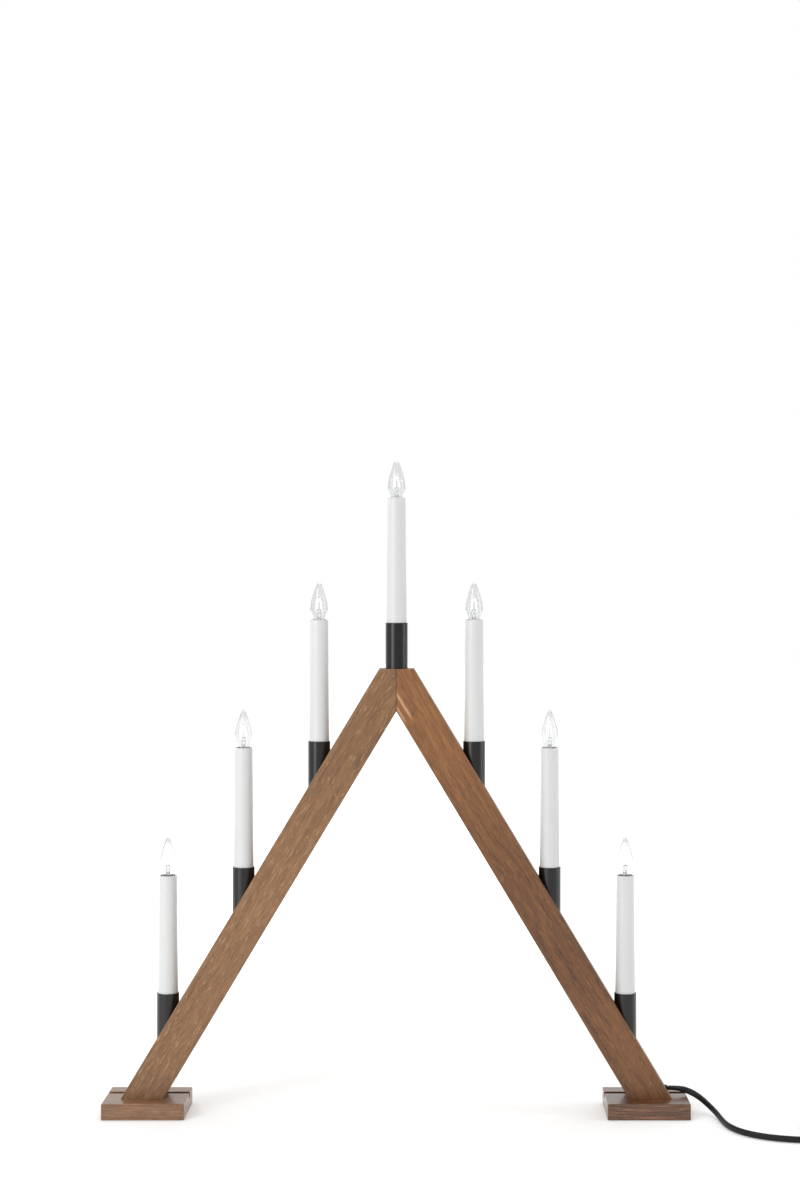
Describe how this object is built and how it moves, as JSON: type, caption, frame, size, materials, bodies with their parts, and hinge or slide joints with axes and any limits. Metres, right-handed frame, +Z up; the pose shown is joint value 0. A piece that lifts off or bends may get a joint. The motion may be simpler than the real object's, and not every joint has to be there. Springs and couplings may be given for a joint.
{
  "type": "candle arch",
  "caption": "Electric candle arch: two leaning wooden beams on block feet, with black cups, white candle sleeves, clear flame-shaped screw lamps and a black mains lead.",
  "frame": {"origin": "on the floor, in the middle of the arch and of the depth of its feet", "axes": "+X along the arch to the viewer's right, where the lead comes out; +Y to the back; +Z up"},
  "size_m": [0.7351, 0.1512, 0.5612],
  "materials": {
    "stained_wood": "brown stained softwood, matt oiled, open grain",
    "dowel_wood": "plain beech",
    "black_metal": "satin black powder coat",
    "white_plastic": "smooth satin white",
    "holder_plastic": "plain moulded",
    "brass": "thin pressed brass",
    "zinc_steel": "zinc plated",
    "nickel_plate": "nickel plated",
    "solder": "dull solder",
    "lamp_glass": "clear, with a warm filament inside",
    "wire_insulation": "plain insulation",
    "cord_sheath": "black flexible sheath",
    "black_plastic": "moulded black"
  },
  "bodies": {
    "arch": {"left_beam": "stained_wood", "right_beam": "stained_wood", "left_foot": "stained_wood", "right_foot": "stained_wood", "left_cover_strip": "stained_wood", "right_cover_strip": "stained_wood", "mitre_dowels": "dowel_wood", "foot_screws": "zinc_steel", "sleeve_spigots": "holder_plastic", "cup_nipples": "zinc_steel", "holder_bodies": "holder_plastic", "holder_screw_shells": "brass", "holder_contacts": "brass", "series_wires": "wire_insulation", "inner_cord": "cord_sheath", "cord_bush": "black_plastic", "cord_lead": "cord_sheath", "cord_coil": "cord_sheath", "plug_body": "black_plastic", "plug_pins": "nickel_plate", "cup_left_low": "black_metal", "cup_left_mid": "black_metal", "cup_left_high": "black_metal", "cup_top": "black_metal", "cup_right_high": "black_metal", "cup_right_mid": "black_metal", "cup_right_low": "black_metal", "sleeve_left_low": "white_plastic", "sleeve_left_mid": "white_plastic", "sleeve_left_high": "white_plastic", "sleeve_top": "white_plastic", "sleeve_right_high": "white_plastic", "sleeve_right_mid": "white_plastic", "sleeve_right_low": "white_plastic"},
    "lamp_lift_left_low": {"bulb_left_low_contact": "solder"},
    "lamp_left_low": {"bulb_left_low_glass": "lamp_glass", "bulb_left_low_cap": "brass"},
    "lamp_lift_left_mid": {"bulb_left_mid_contact": "solder"},
    "lamp_left_mid": {"bulb_left_mid_glass": "lamp_glass", "bulb_left_mid_cap": "brass"},
    "lamp_lift_left_high": {"bulb_left_high_contact": "solder"},
    "lamp_left_high": {"bulb_left_high_glass": "lamp_glass", "bulb_left_high_cap": "brass"},
    "lamp_lift_top": {"bulb_top_contact": "solder"},
    "lamp_top": {"bulb_top_glass": "lamp_glass", "bulb_top_cap": "brass"},
    "lamp_lift_right_high": {"bulb_right_high_contact": "solder"},
    "lamp_right_high": {"bulb_right_high_glass": "lamp_glass", "bulb_right_high_cap": "brass"},
    "lamp_lift_right_mid": {"bulb_right_mid_contact": "solder"},
    "lamp_right_mid": {"bulb_right_mid_glass": "lamp_glass", "bulb_right_mid_cap": "brass"},
    "lamp_lift_right_low": {"bulb_right_low_contact": "solder"},
    "lamp_right_low": {"bulb_right_low_glass": "lamp_glass", "bulb_right_low_cap": "brass"}
  },
  "joints": [
    {"name": "lift_left_low", "type": "slide", "parent": "arch", "child": "lamp_lift_left_low", "axis": [0, 0, 1], "range_m": [0, 0.00726]},
    {"name": "turn_left_low", "type": "hinge", "parent": "lamp_lift_left_low", "child": "lamp_left_low", "pos_m": [-0.197, 0, 0.20325], "axis": [0, 0, 1], "range_deg": [0, 1440]},
    {"name": "lift_left_mid", "type": "slide", "parent": "arch", "child": "lamp_lift_left_mid", "axis": [0, 0, 1], "range_m": [0, 0.00726]},
    {"name": "turn_left_mid", "type": "hinge", "parent": "lamp_lift_left_mid", "child": "lamp_left_mid", "pos_m": [-0.1319, 0, 0.3133], "axis": [0, 0, 1], "range_deg": [0, 1440]},
    {"name": "lift_left_high", "type": "slide", "parent": "arch", "child": "lamp_lift_left_high", "axis": [0, 0, 1], "range_m": [0, 0.00726]},
    {"name": "turn_left_high", "type": "hinge", "parent": "lamp_lift_left_high", "child": "lamp_left_high", "pos_m": [-0.0668, 0, 0.42334], "axis": [0, 0, 1], "range_deg": [0, 1440]},
    {"name": "lift_top", "type": "slide", "parent": "arch", "child": "lamp_lift_top", "axis": [0, 0, 1], "range_m": [0, 0.00726]},
    {"name": "turn_top", "type": "hinge", "parent": "lamp_lift_top", "child": "lamp_top", "pos_m": [0, 0, 0.5285], "axis": [0, 0, 1], "range_deg": [0, 1440]},
    {"name": "lift_right_high", "type": "slide", "parent": "arch", "child": "lamp_lift_right_high", "axis": [0, 0, 1], "range_m": [0, 0.00726]},
    {"name": "turn_right_high", "type": "hinge", "parent": "lamp_lift_right_high", "child": "lamp_right_high", "pos_m": [0.0668, 0, 0.42334], "axis": [0, 0, 1], "range_deg": [0, 1440]},
    {"name": "lift_right_mid", "type": "slide", "parent": "arch", "child": "lamp_lift_right_mid", "axis": [0, 0, 1], "range_m": [0, 0.00726]},
    {"name": "turn_right_mid", "type": "hinge", "parent": "lamp_lift_right_mid", "child": "lamp_right_mid", "pos_m": [0.1319, 0, 0.3133], "axis": [0, 0, 1], "range_deg": [0, 1440]},
    {"name": "lift_right_low", "type": "slide", "parent": "arch", "child": "lamp_lift_right_low", "axis": [0, 0, 1], "range_m": [0, 0.00726]},
    {"name": "turn_right_low", "type": "hinge", "parent": "lamp_lift_right_low", "child": "lamp_right_low", "pos_m": [0.197, 0, 0.20325], "axis": [0, 0, 1], "range_deg": [0, 1440]}
  ],
  "couplings": [
    {"joint": "lift_left_low", "follows": "turn_left_low", "m_per_rad": 0.00028875},
    {"joint": "lift_left_mid", "follows": "turn_left_mid", "m_per_rad": 0.00028875},
    {"joint": "lift_left_high", "follows": "turn_left_high", "m_per_rad": 0.00028875},
    {"joint": "lift_top", "follows": "turn_top", "m_per_rad": 0.00028875},
    {"joint": "lift_right_high", "follows": "turn_right_high", "m_per_rad": 0.00028875},
    {"joint": "lift_right_mid", "follows": "turn_right_mid", "m_per_rad": 0.00028875},
    {"joint": "lift_right_low", "follows": "turn_right_low", "m_per_rad": 0.00028875}
  ]
}
